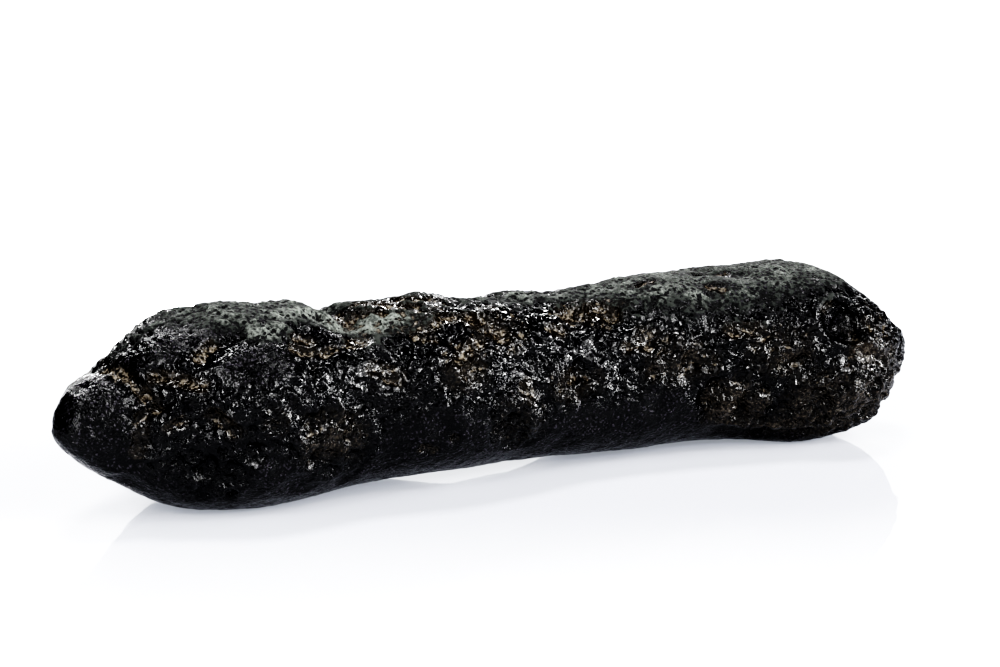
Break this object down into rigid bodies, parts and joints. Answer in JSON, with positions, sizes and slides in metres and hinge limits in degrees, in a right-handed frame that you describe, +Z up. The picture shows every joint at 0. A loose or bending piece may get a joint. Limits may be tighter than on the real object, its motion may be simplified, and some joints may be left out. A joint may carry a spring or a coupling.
{
  "type": "tektite",
  "caption": "Rod-shaped lump of natural black glass with a rounded, grooved nose, a pitted skin, an arched waist and a flaked end, lying on its side.",
  "frame": {"origin": "middle of the bounding box's underside, on the surface that the rod lies on", "axes": "+Z up, +X along the rod from the rounded nose to the flaked end, -Y the front"},
  "size_m": [0.1, 0.0258, 0.0214],
  "materials": {
    "tektite_glass": "satin"
  },
  "bodies": {
    "root": {"tektite": "tektite_glass"}
  },
  "joints": []
}
